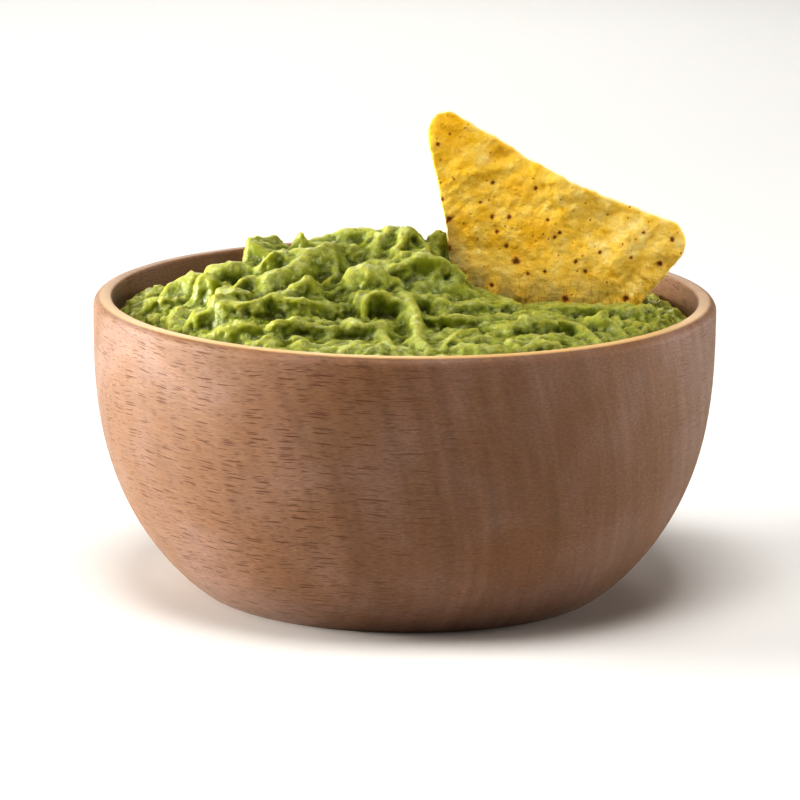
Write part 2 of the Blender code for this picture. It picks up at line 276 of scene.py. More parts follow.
def oiledBeech():
    # beech, turned and oiled: pinkish tan, with short brown ray flecks where the side of the grain shows,
    # faint upright streaks of the yearly rings where its end shows, and a lip top painted lighter and golden
    # as a painted highlight, also polished smoother
    material, tree = newMaterial("oiledBeech")
    place = addNode(tree, "TexCoord").outputs["Object"]
    sway = addNode(tree, "TexNoise", {"Vector": place, "Scale": 1 / wood["swayLength"], "Detail": 2.0})
    swayed = addNode(tree, "VectorMath", {0: sway.outputs["Color"], 1: (0.5, 0.5, 0.5)}, operation="SUBTRACT")
    wavy = addNode(tree, "VectorMath", {0: swayed.outputs[0], 1: (0, 0, 2 * wood["waviness"]), 2: place},
                   operation="MULTIPLY_ADD")
    turned = addNode(tree, "Mapping", {"Vector": wavy.outputs[0],
                                       "Rotation": (0, 0, math.radians(wood["grainTurn"]))})
    grain = turned.outputs[0]

    blotch = addNode(tree, "TexNoise", {"Vector": grain, "Scale": 1 / wood["blotch"], "Detail": 4.0})
    base = addNode(tree, "ValToRGB", {"Fac": blotch.outputs["Fac"]},
                   ramp=[(0.34, "8c6c53"), (0.5, "8e705a"), (0.64, "937766")])

    fibreSize = addNode(tree, "Mapping", {"Vector": grain,
                                          "Scale": tuple(1 / length for length in wood["fibre"])})
    fibre = addNode(tree, "TexNoise", {"Vector": fibreSize.outputs[0], "Scale": 1.0, "Detail": 5.0,
                                       "Roughness": 0.65})
    fibreTone = addNode(tree, "MapRange", {"Value": fibre.outputs["Fac"], "From Min": 0.3, "From Max": 0.7,
                                           "To Min": 0.84, "To Max": 1.12})

    leaning = addNode(tree, "Mapping", {"Vector": grain, "Rotation": (math.radians(wood["grainTilt"]), 0, 0)})
    ringSize = addNode(tree, "Mapping", {"Vector": leaning.outputs[0],
                                         "Scale": tuple(1 / length for length in wood["streak"])})
    rings = addNode(tree, "TexNoise", {"Vector": ringSize.outputs[0], "Scale": 1.0, "Detail": 3.0})
    ringTone = addNode(tree, "MapRange", {"Value": rings.outputs["Fac"], "From Min": 0.3, "From Max": 0.7,
                                          "To Min": 0.9, "To Max": 1.09})

    facing = addNode(tree, "NewGeometry").outputs["Normal"]
    across = (-math.sin(math.radians(wood["grainTurn"])), -math.cos(math.radians(wood["grainTurn"])), 0)
    side = addNode(tree, "VectorMath", {0: facing, 1: across}, operation="DOT_PRODUCT")
    sideAmount = addNode(tree, "Math", {0: side.outputs["Value"]}, operation="ABSOLUTE")
    shown = addNode(tree, "MapRange", {"Value": sideAmount.outputs[0], "From Min": 0.32, "From Max": 0.8,
                                       "To Min": 0.08, "To Max": 1.0}).outputs[0]
    tone = addNode(tree, "Math", {0: fibreTone.outputs[0], 1: ringTone.outputs[0]}, operation="MULTIPLY")
    plain = addNode(tree, "VectorMath", {0: base.outputs[0], "Scale": tone.outputs[0]}, operation="SCALE")

    flecks = 0.0
    for length, height, strength in wood["rays"].values():
        rays = rayAmount(tree, grain, length, height, strength)
        flecks = addNode(tree, "Math", {0: rays, 1: flecks}, operation="MAXIMUM").outputs[0]
    flecks = addNode(tree, "Math", {0: flecks, 1: shown}, operation="MULTIPLY").outputs[0]
    rayed = addNode(tree, "Mix", {0: flecks, 6: plain.outputs[0], 7: hexColour("5c3a22")}, data_type="RGBA")
    spot = addNode(tree, "SeparateXYZ", {"Vector": place}).outputs
    lipLightShare = addNode(tree, "MapRange", {"Value": spot["Y"], "From Min": wood["lipLightRange"][0],
                                      "From Max": wood["lipLightRange"][1], "To Min": 0.1, "To Max": 0.9})
    lipLightAndPolish = addNode(tree, "MapRange", {"Value": spot["Z"], "From Min": rimHeight - wood["lipBand"][0],
                                         "From Max": rimHeight - wood["lipBand"][1],
                                         "To Max": lipLightShare.outputs[0]})
    # painted highlight: the lip's top is painted lighter and golden, most at the front; the same band is
    # polished smoother
    colour = addNode(tree, "Mix", {0: lipLightAndPolish.outputs[0], 6: rayed.outputs[2], 7: hexColour("cda871")},
                     data_type="RGBA")

    relief = addNode(tree, "Math", {0: flecks, 1: -0.5, 2: tone.outputs[0]}, operation="MULTIPLY_ADD")
    bump = addNode(tree, "Bump", {"Height": relief.outputs[0], "Strength": 0.6, "Distance": 0.15 * mm})
    polish = addNode(tree, "MapRange", {"Value": lipLightAndPolish.outputs[0], "To Min": 0.58, "To Max": 0.4})
    shader = addNode(tree, "BsdfPrincipled", {"Base Color": colour.outputs[2], "Roughness": polish.outputs[0],
                                              "Normal": bump.outputs[0], "IOR": 1.42,
                                              "Sheen Weight": 0.12, "Sheen Roughness": 0.4})
    addNode(tree, "OutputMaterial", {"Surface": shader.outputs[0]})
    return material


mash = {   # three values in a row are a noise's size, its height or reach, and its seed
    "gridCells": 280,
    "voxel": 0.56 * mm,
    "edgeDepth": 4.5 * mm,
    "edgeTilt": 3.5 * mm,
    "plateauDepth": 0.8 * mm,
    "backFall": 0.16,
    "moundHeight": 11 * mm,
    "moundCentre": (-10 * mm, 3 * mm),
    "moundReach": (27 * mm, 20 * mm),
    "foldCentre": (-8 * mm, 9 * mm),
    "faceHeight": 4.5 * mm,
    "footSlope": 0.9,
    "lipDrop": 0.6 * mm,
    "shelfLength": 9 * mm,
    "blend": 0.6 * mm,
    "intoWall": 0.3 * mm,
    "cutDepth": 13 * mm,
    "backRings": (12, 20, 28, 37, 46, 53),   # mm from the fold centre
    "backFoldLength": 12 * mm,
    "backFoldRise": 2.6 * mm,
    "backArc": (12, 0.87, 0.82),   # where it starts in degrees, its half turns, and those that folds fill
    "backReach": 56 * mm,
    "bends": ((7 * mm, 0.9 * mm, 5), (2.8 * mm, 0.5 * mm, 6)),
    "broadBend": (15 * mm, 3 * mm, 1),
    "waves": (11 * mm, 6 * mm, 0.9 * mm),     # width, depth and height
    "lumps": ((5.5 * mm, 0.55 * mm, 2), (3 * mm, 0.35 * mm, 3)),
    "seatRise": 0.24,
    "seatUneven": (4 * mm, 0.5 * mm, 8),
    "settle": 22,             # higher keeps the folds nearer to the wall
    "gapSpread": 12,
    "gapEdges": (0.75, 0.98),
    "skirt": 15 * mm,
    "curdBend": (5 * mm, 1.5 * mm, 11),
    "curds": (3.2 * mm, 0.3 * mm, 13),
    "grains": (1.3 * mm, 0.5 * mm, 15),
    "runs": (2.4 * mm, 0.35 * mm, 17),
    "endBand": (36 * mm, 50 * mm),            # its left and right ends are rougher from here to here
    "closingRows": 9,
    "crests": ((16, 0.35 * mm), (90, 1.2 * mm)),     # rounds of smoothing, and the height of a full crest
}

# where the guacamole sinks away from the wall: direction from the middle, and depth in mm
gaps = [(-0.94, -0.34, 4.5), (0.98, -0.2, 2.8)]

# how high the guacamole comes against the front of the chip: across and over the rim in mm
chipSeat = [(7, 14), (8.6, 12), (11.4, 6), (14.3, 3), (20, 0.3), (24.5, -1.3), (29, -0.9), (40, -0.6),
            (46, -0.6), (49, 0), (52, 2), (56, 6)]

# how each kind of fold is shaped: crest radius and lean in mm, slope of its face, slope behind it
kinds = {
    "flap": (0.8, 1.2, 5.0, 0.15),
    "lobe": (1.3, 1.3, 4.5, 0.12),
    "peak": (0.8, 0.3, 2.6, 1.0),
    "column": (1.7, 0.4, 6.0, 0.5),
    "dome": (3.6, 0.8, 4.0, 0.5),
    "shelf": (1.1, 0.7, 3.0, 0.06),
    "ridge": (1.4, 0.4, 1.6, 0.3),
    "slope": (2.0, 0.0, 1.3, 0.15),
}

# crest lines, as x, y and height over the rim in mm; a fold that faces another way says what lies behind it
folds = {
    "ridgeTop": ("ridge", [(-19.5, 1, 11.5), (-16, 2, 12.5), (-12.5, 2, 14), (-9, 2, 14), (-7, 1, 14)]),
    "ridgeEnd": ("ridge", [(-6, 1, 14), (-4.5, 0, 15.2), (-3, 0, 15)]),
    "shellLeft": ("ridge", [(-6.5, -8, 11), (-6, -5, 13), (-4.5, -2, 15)]),
    "shellRight": ("flap", [(-3, -9, 12), (-1, -6, 13.5), (0, -3, 15.2), (1.5, -3, 14), (4, -5, 12)]),
    "shellLip": ("lobe", [(-7, -11, 10), (-4, -12, 10.5), (-1, -11, 11.5), (4, -8, 12)]),
    "backKnob": ("peak", [(5, 4, 12.5), (6, 4, 13.5), (7.5, 3, 13)]),
    "backBump": ("ridge", [(5, 2, 11.5), (6.5, 3, 12), (8, 3.5, 11.5)]),
    "peakLeft": ("flap", [(-32.5, -4, 10.5), (-32, -4, 13), (-31, -5, 12.2), (-29, -6, 12),
                          (-27.5, -7, 10.5)]),
    "peakMiddle": ("peak", [(-23.5, -3, 10.5), (-22.5, -3, 12.5), (-21.5, -3, 14.5), (-20.5, -3, 13),
                            (-18.5, -3, 12)]),
    "smallRidge": ("flap", [(-30, -11, 8), (-28.5, -12, 9.5), (-26.5, -12, 11.5), (-25, -11, 11.5),
                            (-23.5, -10, 10.5)]),
    "shoulder": ("dome", [(-38, -8, 8.2), (-35.5, -8, 8.9), (-33, -8, 8.6), (-30.5, -9, 8)]),
    "finger": ("column", [(-42, -13, 7.3), (-41, -13, 7.6), (-40, -14, 7)]),
    "farLeft": ("ridge", [(-51, -4, 1.5), (-48.5, -3, 3.5), (-46, -3, 4.5), (-43.5, -4, 6)]),
    "leaf": ("slope", [(-28, -20, 8.5), (-24.5, -18, 9.5), (-22, -16, 10), (-19.5, -12, 12), (-16, -9, 13)]),
    "leafEdge": ("flap", [(-16, -9, 13), (-14.5, -12, 10.5), (-14, -15, 8.5), (-15.5, -18, 7),
                          (-18, -20, 6.5)],
                 (-23, -14)),
    "leafFoot": ("lobe", [(-24.5, -27, 6), (-22.5, -26, 7), (-20.5, -25, 8), (-19, -24, 8), (-18, -24, 6.5)]),
    "flapLeft": ("flap", [(-37.5, -18, 5.5), (-36, -20, 5.5), (-34, -20, 6.5), (-32.5, -19, 8)]),
    "flapSmall": ("peak", [(-31, -19, 7), (-30, -19, 8), (-29, -19, 6.5)]),
    "leftEnd": ("lobe", [(-54.5, -10, 1.5), (-53, -9, 3), (-51, -9, 3.2), (-49, -10, 2.5)]),
    "leftLump": ("ridge", [(-48, -33, -1), (-47, -28, 1.5), (-46.5, -22, 3)]),
    "longLeft": ("lobe", [(-43.5, -31, 2), (-42, -31, 3.8), (-39.5, -31, 4.5), (-37.5, -31, 7.5),
                          (-36, -32, 6), (-33, -33, 5.5), (-29, -33, 5.3)]),
    "longLeftEnd": ("lobe", [(-28.5, -32, 5.3), (-26, -32, 6.7), (-23.5, -33, 6), (-20.5, -33, 6.3),
                             (-19.5, -32, 5.3)]),
    "stepLeft": ("shelf", [(-43, -38, 0.5), (-40.5, -40, 2), (-37, -42, 3.3), (-31.5, -43, 3.4),
                           (-28.5, -43, 2.3)]),
    "stepBlock": ("lobe", [(-26.5, -43, 1.5), (-26, -44, 3.5), (-23, -44, 4), (-20, -43, 3.5)]),
    "stepEnd": ("shelf", [(-20, -42, 3), (-17, -42, 2.5), (-14, -42, 2)]),
    "bulb": ("dome", [(-9.3, -20, 9.8), (-8, -20, 10.2), (-6.5, -20, 9.8)]),
    "nub": ("column", [(-3.2, -20, 7.8), (-2.5, -20, 8)]),
    "tongue": ("lobe", [(-5, -15, 8), (-3.5, -15, 10), (-0.5, -15, 10.5), (2.5, -14, 12), (5, -14, 11.5),
                        (7.5, -14, 11), (9, -13, 9), (11, -13, 7.5)]),
    "slope": ("slope", [(3, -18, 7), (10, -16, 6), (18, -13, 2.5)]),
    "slopeEdge": ("shelf", [(0.5, -26, 6), (3.5, -25, 5.5), (6.5, -25, 5)]),
    "arch": ("flap", [(-8.5, -33, 2), (-8, -31, 5), (-6.5, -29, 7), (-4.5, -28, 7), (-3, -29, 6),
                      (-1, -30, 5)]),
    "rib": ("ridge", [(0.5, -27, 6), (1.5, -32, 5), (2, -39, 3), (2.5, -46, 1.5), (4.5, -54, 0)]),
    "block": ("lobe", [(-10.5, -41, 2.8), (-9, -41, 3), (-5.5, -41, 3)]),
    "blockSide": ("ridge", [(-5, -41, 3), (-4, -46, 1), (-3, -51, 0)]),
    "lowLeft": ("shelf", [(-31, -49, 1), (-28, -50, 1.5), (-25.5, -51, 1)]),
    "lowLump": ("ridge", [(-21, -51, 1), (-19, -53, 0)]),
    "lowMiddle": ("lobe", [(-14, -55, -1), (-12, -55, 0.5), (-9.5, -55, 0.5), (-6, -55, 0.5),
                           (-3.5, -56, 0)]),
    "longRight": ("shelf", [(4, -34, 2.5), (9, -34, 2.8), (14.5, -33, 2.5), (23.5, -31, 2.5),
                            (31, -30, 2.5)]),
    "longRightUpper": ("shelf", [(6.5, -27, 4.5), (11, -27, 4), (17.5, -25, 3.5), (21, -22, 4)]),
    "hook": ("flap", [(5.5, -55, -0.5), (7, -53, 0.5), (9, -49, 1.5), (10.5, -46, 2)]),
    "hookEnd": ("shelf", [(11, -50, 1), (13.5, -48, 1.5), (16.5, -47, 1.5), (19, -48, 0.5)]),
    "lowRight": ("shelf", [(10, -54, 0.5), (15, -55, 1), (21, -54, 1), (25, -52, 1.5), (30.5, -49, 1.5)]),
    "rightFold": ("lobe", [(20.5, -40, 1), (21.5, -38, 2.5), (25.5, -36, 3), (29, -35, 2.5)]),
    "rightKnob": ("column", [(39, -30, 2.5), (40.5, -30, 3), (42, -30, 2)]),
    "rightKnobRun": ("ridge", [(42, -30, 2), (44, -33, 1), (46, -37, 0)]),
    "rightFar": ("shelf", [(31.5, -34, 2.5), (34.5, -35, 2), (37.5, -40, 1), (39.5, -44, 0.5)]),
    "rightMid": ("shelf", [(29, -20, 2.5), (34, -18, 2.5), (40, -16, 2)]),
    "rightEnd": ("ridge", [(47, -14, 2.5), (49, -10, 3), (51, -10, 2), (52.5, -14, 1)]),
    "rightEndLow": ("ridge", [(48, -28, 1.5), (50.5, -24, 0.5), (52, -20, 0.5)]),
}


def curved(crest, parts=6):
    points = np.array(crest, dtype=float) * mm
    padded = np.vstack([2 * points[0] - points[1], points, 2 * points[-1] - points[-2]])
    line = []
    for index in range(1, len(padded) - 2):
        a, b, c, d = padded[index - 1:index + 3]
        for t in np.linspace(0, 1, parts, endpoint=False):
            line.append(0.5 * (2 * b + (c - a) * t + (2 * a - 5 * b + 4 * c - d) * t ** 2
                               + (3 * b - a - 3 * c + d) * t ** 3))
    return np.array(line + [points[-1]])


def smoothStep(low, high, value):
    part = np.clip((value - low) / (high - low), 0, 1)
    return part * part * (3 - 2 * part)


def roundedDrop(distance, radius, slope):
    reach = radius * slope / math.sqrt(1 + slope ** 2)
    arch = radius - np.sqrt(radius ** 2 - np.minimum(distance, reach) ** 2)
    return arch + slope * np.maximum(distance - reach, 0)


def foldHeights(x, y, crest, kind, inside):
    tip, lean, faceSlope, backSlope = kinds[kind]
    tip = tip * mm
    nearest = np.full(len(x), 1e9)
    height, footX, footY = np.zeros(len(x)), np.zeros(len(x)), np.zeros(len(x))
    for start, end in zip(crest, crest[1:]):
        along = end - start
        part = ((x - start[0]) * along[0] + (y - start[1]) * along[1]) / (along[0] ** 2 + along[1] ** 2)
        part = np.clip(part, 0, 1)
        spotX, spotY = start[0] + part * along[0], start[1] + part * along[1]
        distance = np.hypot(x - spotX, y - spotY)
        closer = distance < nearest
        nearest[closer] = distance[closer]
        height[closer] = (start[2] + part * along[2])[closer]
        footX[closer], footY[closer] = spotX[closer], spotY[closer]
    inX, inY = inside[0] - footX, inside[1] - footY
    behind = ((x - footX) * inX + (y - footY) * inY) / (np.hypot(inX, inY) * nearest + 1e-9)
    behind = smoothStep(0.1, 0.75, behind)
    steep = roundedDrop(nearest, tip, faceSlope)
    pastFace = np.maximum(nearest - mash["faceHeight"] / faceSlope - tip / 2, 0)
    foot = mash["faceHeight"] + mash["footSlope"] * pastFace
    face = np.minimum(steep, foot) if faceSlope > mash["footSlope"] else steep
    shelf = (mash["lipDrop"] * (1 - np.exp(-(nearest / (1.4 * tip)) ** 2)) + backSlope * nearest
             + 1.2 * np.maximum(nearest - mash["shelfLength"], 0))
    shelf = np.minimum(shelf, face + 0.1 * mm)
    weight = np.exp(-(nearest / (1.5 * tip)) ** 2) * lean * mm
    smooth = (1 - behind) * np.exp(-(nearest / (4 * mm)) ** 2)
    return height - face * (1 - behind) - shelf * behind, weight, smooth


def moundHeights(x, y):
    across = (x - mash["moundCentre"][0]) / mash["moundReach"][0]
    along = (y - mash["moundCentre"][1]) / mash["moundReach"][1]
    mound = mash["moundHeight"] * np.exp(-across ** 2 - along ** 2)
    return mound - mash["plateauDepth"] - mash["backFall"] * np.maximum(y - mash["moundCentre"][1], 0)


def lumps(points, size, seed):
    return np.abs(noiseAt(points, size, seed)) * 3 - 0.7   # round tops and sharp creases


def waves(x, y, width, depth, seed):
    outX, outY = x - mash["foldCentre"][0], y - mash["foldCentre"][1]
    reach = np.hypot(outX, outY)
    turn = np.arctan2(outY, outX)
    flat = np.stack([np.cos(turn) * 30 * mm, np.sin(turn) * 30 * mm, reach * width / depth], axis=1)
    level = noiseAt(flat, width, seed)
    return 1 - 2 * np.abs(level) ** 0.8   # thin crests that run round the heap


def backFolds():
    rows = []
    backStart, backTurns, backFill = mash["backArc"]
    for ring in mash["backRings"]:
        room = math.pi * backFill * ring * mm
        count = max(2, round(room / (mash["backFoldLength"] * 1.15)))
        for index in range(count):
            seed = ring * 1.7 + index * 3.3
            turn = math.radians(backStart) + math.pi * backTurns * (index + 0.5) / count
            half = mash["backFoldLength"] * (0.5 + 0.25 * noise.noise((seed, 0.4, 0.2))) / (ring * mm)
            crest = []
            for step in (-1, -0.35, 0.35, 1):
                angle = turn + half * step
                reach = (ring + 3 * noise.noise((seed, step * 0.8, 4.1))) * mm
                crest.append((mash["foldCentre"][0] + reach * math.cos(angle),
                              mash["foldCentre"][1] + reach * math.sin(angle)))
            points = np.array(crest)
            rise = mash["backFoldRise"] * (0.8 + 0.6 * noise.noise((seed, 2.2, 7.7)))
            level = moundHeights(points[:, 0], points[:, 1]) + rise * np.array([0.5, 1, 0.9, 0.4])
            if np.max(np.hypot(points[:, 0], points[:, 1])) < mash["backReach"]:
                rows.append((("lobe", "flap", "ridge")[index % 3], np.column_stack([points, level])))
    return rows


def foldSurface(x, y):
    flat = np.stack([x, y, np.zeros(len(x))], axis=1)
    bend = sum(warpAt(flat, size, seed) * reach for size, reach, seed in mash["bends"])
    bentX, bentY = x + bend[:, 0], y + bend[:, 1]
    size, reach, seed = mash["broadBend"]
    broad = warpAt(flat, size, seed) * reach
    width, depth, rise = mash["waves"]
    height = moundHeights(x, y) + rise * waves(x + broad[:, 0], y + broad[:, 1], width, depth, 4)
    leanX, leanY, smooth = np.zeros(len(x)), np.zeros(len(x)), np.zeros(len(x))
    outX, outY = x - mash["foldCentre"][0], y - mash["foldCentre"][1]
    reach = np.hypot(outX, outY) + 1e-9
    rows = [(fold[0], curved(fold[1]), *fold[2:]) for fold in folds.values()] + backFolds()
    for kind, crest, *inner in rows:
        inside = np.array(inner[0]) * mm if inner else mash["foldCentre"]
        fold, lean, front = foldHeights(bentX, bentY, crest, kind, inside)
        over = fold - height
        overlap = np.clip(1 - np.abs(over) / mash["blend"], 0, 1)
        height = np.maximum(height, fold) + overlap ** 2 * mash["blend"] / 4
        won = over > 0
        leanX = np.where(won, lean * outX / reach, leanX)
        leanY = np.where(won, lean * outY / reach, leanY)
        smooth = np.where(won, front, smooth)
    return height, leanX, leanY, smooth


def chipSeatHeight(x, y):
    across, level = np.array(chipSeat).T * mm
    seat = np.interp(x, across, level, left=1, right=1)
    forward = chip["place"] - y
    return seat + mash["seatRise"] * np.maximum(forward, 0) + 40 * np.maximum(-forward - 5 * mm, 0)


def heapMash():
    cells = mash["gridCells"]
    deselectAll()
    bpy.ops.mesh.primitive_grid_add(x_subdivisions=cells, y_subdivisions=cells, size=2)
    piece = activeObject("mashed_avocado")
    square = getPoints(piece)
    discX = square[:, 0] * np.sqrt(1 - square[:, 1] ** 2 / 2)
    discY = square[:, 1] * np.sqrt(1 - square[:, 0] ** 2 / 2)
    reach = np.hypot(discX, discY)
    turnX, turnY = discX / np.maximum(reach, 1e-6), discY / np.maximum(reach, 1e-6)
    edge = -mash["edgeDepth"] - mash["edgeTilt"] * turnY
    gapShare = np.zeros(len(turnX))
    for towardsX, towardsY, depth in gaps:
        near = smoothStep(*mash["gapEdges"], turnX * towardsX + turnY * towardsY)
        gapShare += near
        edge -= depth * mm * near
    wall = innerRadius(rimHeight + edge) + mash["intoWall"]
    x, y = discX * wall, discY * wall
    height, leanX, leanY, smooth = foldSurface(x, y)
    flat = np.stack([x, y, np.zeros(len(x))], axis=1)
    rough = 1 - 0.75 * smooth
    height += rough * sum(rise * lumps(flat, size, seed) for size, rise, seed in mash["lumps"])
    size, rise, seed = mash["seatUneven"]
    seat = chipSeatHeight(x, y) + rise * noiseAt(flat, size, seed)
    height = seat - mash["blend"] * np.logaddexp(0, (seat - height) / mash["blend"])
    settle = np.clip(reach, 0, 1) ** (mash["settle"] - mash["gapSpread"] * gapShare)
    height = height * (1 - settle) + edge * settle
    inside = 1 - settle
    setPoints(piece, np.stack([x + leanX * inside, y + leanY * inside, rimHeight + height], axis=1))
    bpy.ops.object.mode_set(mode="EDIT")
    bpy.ops.mesh.select_all(action="SELECT")
    bpy.ops.mesh.region_to_loop()
    bpy.ops.mesh.extrude_region_move(TRANSFORM_OT_translate={"value": (0, 0, -mash["skirt"])})
    bpy.ops.mesh.edge_face_add()
    bpy.ops.mesh.select_all(action="SELECT")
    bpy.ops.mesh.normals_make_consistent(inside=False)
    bpy.ops.object.mode_set(mode="OBJECT")
    applyModifier(piece, "REMESH", mode="VOXEL", voxel_size=mash["voxel"], adaptivity=0.0,
                  use_smooth_shade=True)
    return piece


def roughenMash(piece):
    points, edges = getPoints(piece), edgeArray(piece)
    points = smoothed(points, edges, 1)
    setPoints(piece, points)
    normals = getNormals(piece)
    smooth = foldSurface(points[:, 0], points[:, 1])[3]
    ends = smoothStep(*mash["endBand"], np.abs(points[:, 0]))
    rough = (1 - 0.8 * smooth) * (1 + 0.6 * ends)
    size, reach, seed = mash["curdBend"]
    bent = points + warpAt(points, size, seed) * reach
    size, rise, seed = mash["curds"]
    curds = lumps(bent, size, seed) * rise
    size, rise, seed = mash["grains"]
    grains = noiseAt(bent, size, seed) * rise
    size, rise, seed = mash["runs"]
    upright = 1 - np.abs(normals[:, 2])
    runs = noiseAt(bent * np.array([1, 1, 0.3]), size, seed) * rise * upright
    points = points + normals * ((curds + grains) * rough + runs)[:, None]
    setPoints(piece, points)


def closeMash(piece):
    low = rimHeight - mash["cutDepth"]
    deselectAll()
    piece.select_set(True)
    bpy.context.view_layer.objects.active = piece
    bpy.ops.object.mode_set(mode="EDIT")
    bpy.ops.mesh.select_all(action="SELECT")
    bpy.ops.mesh.bisect(plane_co=(0, 0, low), plane_no=(0, 0, 1), clear_inner=True)
    floor = bowl["floor"] - mash["intoWall"]
    rows = wallHeights(low - floor, mash["closingRows"])[::-1]
    for upper, lower in zip(rows, rows[1:]):
        scale = float(innerRadius(floor + lower) / innerRadius(floor + upper))
        bpy.ops.mesh.extrude_region_move(TRANSFORM_OT_translate={"value": (0, 0, float(lower - upper))})
        bpy.ops.transform.resize(value=(scale, scale, 1), center_override=(0, 0, 0))
    bpy.ops.mesh.edge_face_add()
    bpy.ops.mesh.select_all(action="SELECT")
    bpy.ops.mesh.normals_make_consistent(inside=False)
    bpy.ops.object.mode_set(mode="OBJECT")
    bpy.ops.object.shade_smooth()


def measureMash(piece):
    points, edges, normals = getPoints(piece), edgeArray(piece), getNormals(piece)
    (fewRounds, smallCrest), (manyRounds, largeCrest) = mash["crests"]
    near = smoothed(points, edges, fewRounds)
    far = smoothed(near, edges, manyRounds)
    small = np.sum((points - near) * normals, axis=1) / smallCrest
    large = np.sum((near - far) * normals, axis=1) / largeCrest
    # the material paints low values darker, as painted shade in the hollows, and high values paler, as
    # painted highlight on the crests
    storeValue(piece, "crest", np.clip(0.5 + 0.25 * small + 0.35 * large, 0, 1))
    # up-facing areas get a low value, which the material paints pale as painted sheen; smooth fold faces get
    # a high one
    upright = 1 - smoothStep(0.3, 0.85, smoothed(normals, edges, 6)[:, 2])
    front = foldSurface(points[:, 0], points[:, 1])[3]
    storeValue(piece, "sideSmearTopSheen", np.clip(upright * (0.3 + 0.7 * front), 0, 1))


def mashedAvocado():
    # ripe avocado, mashed and spooned: soft and slightly see-through, olive yellow on the faces the spoon
    # left smooth, full of pale curds on top and painted paler there as painted sheen, painted darker in
    # hollows as painted shade and paler on crests as painted highlight, with painted shade in the gaps
    # between granules, under a film of juice that breaks into small glints
    material, tree = newMaterial("mashedAvocado")
    place = addNode(tree, "TexCoord").outputs["Object"]
    crest = addNode(tree, "Attribute", attribute_name="crest").outputs["Fac"]
    sideSmearTopSheen = addNode(tree, "Attribute", attribute_name="sideSmearTopSheen").outputs["Fac"]
    patch = addNode(tree, "TexNoise", {"Vector": place, "Scale": 1 / (6 * mm), "Detail": 5.0})
    # painted shade and highlight: the crest value moves the colour darker in hollows and paler on crests
    mixed = addNode(tree, "Math", {0: patch.outputs["Fac"], 1: 0.5, 2: crest}, operation="MULTIPLY_ADD")
    mixed = addNode(tree, "Math", {0: mixed.outputs[0], 1: 0.25}, operation="SUBTRACT")
    # painted sheen: the ramp for up-facing tops is paler than the one for smooth fold faces
    curdySheenTop = addNode(tree, "ValToRGB", {"Fac": mixed.outputs[0]},
                    ramp=[(0.1, "626714"), (0.34, "868c35"), (0.56, "9ea352"), (0.8, "a8a857")])
    smooth = addNode(tree, "ValToRGB", {"Fac": mixed.outputs[0]},
                     ramp=[(0.1, "525806"), (0.34, "70780f"), (0.56, "81871a"), (0.8, "90942a")])
    base = addNode(tree, "Mix", {0: sideSmearTopSheen, 6: curdySheenTop.outputs[0], 7: smooth.outputs[0]}, data_type="RGBA")
    curds = addNode(tree, "TexNoise", {"Vector": place, "Scale": 1 / (1.6 * mm), "Detail": 4.0,
                                       "Roughness": 0.65})
    # pale curds, laid on most thickly on up-facing tops, where they also stand in for painted sheen
    curdAndSheenMost = addNode(tree, "MapRange", {"Value": sideSmearTopSheen, "To Min": 0.75, "To Max": 0.12})
    curdAndSheenAmount = addNode(tree, "MapRange", {"Value": curds.outputs["Fac"], "From Min": 0.48, "From Max": 0.7,
                                            "To Max": curdAndSheenMost.outputs[0]})
    curdsAndSheenColour = addNode(tree, "Mix", {0: curdAndSheenAmount.outputs[0], 6: base.outputs[2], 7: hexColour("b6ba8e")},
                     data_type="RGBA")
    grain = addNode(tree, "TexNoise", {"Vector": place, "Scale": 1 / (0.9 * mm), "Detail": 4.0,
                                       "Roughness": 0.6})
    pebbles = addNode(tree, "TexVoronoi", {"Vector": place, "Scale": 1 / (1.5 * mm)}, feature="SMOOTH_F1")
    relief = addNode(tree, "Math", {0: pebbles.outputs["Distance"], 1: -0.7, 2: grain.outputs["Fac"]},
                     operation="MULTIPLY_ADD")
    coarseness = addNode(tree, "MapRange", {"Value": sideSmearTopSheen, "To Min": 1.0, "To Max": 0.3})
    # painted shade: the colour is darkened where the bump relief is low, in the gaps between granules, less
    # on smooth faces
    gapShadeFloor = addNode(tree, "MapRange", {"Value": sideSmearTopSheen, "To Min": 0.76, "To Max": 0.94})
    tone = addNode(tree, "MapRange", {"Value": relief.outputs[0], "From Min": -0.1, "From Max": 0.45,
                                      "To Min": gapShadeFloor.outputs[0], "To Max": 1.1})
    colour = addNode(tree, "VectorMath", {0: curdsAndSheenColour.outputs[2], "Scale": tone.outputs[0]}, operation="SCALE")
    bump = addNode(tree, "Bump", {"Height": relief.outputs[0], "Strength": coarseness.outputs[0],
                                  "Distance": 0.6 * mm})
    film = addNode(tree, "Bump", {"Height": relief.outputs[0], "Strength": coarseness.outputs[0],
                                  "Distance": 0.35 * mm})
    shader = addNode(tree, "BsdfPrincipled", {
        "Base Color": colour.outputs[0], "Roughness": 0.48, "Normal": bump.outputs[0], "IOR": 1.35,
        "Subsurface Weight": 0.75, "Subsurface Radius": (1.0, 0.9, 0.3), "Subsurface Scale": 1.9 * mm,
        "Coat Weight": 0.3, "Coat Roughness": 0.08, "Coat Normal": film.outputs[0]})
    addNode(tree, "OutputMaterial", {"Surface": shader.outputs[0]})
    return material


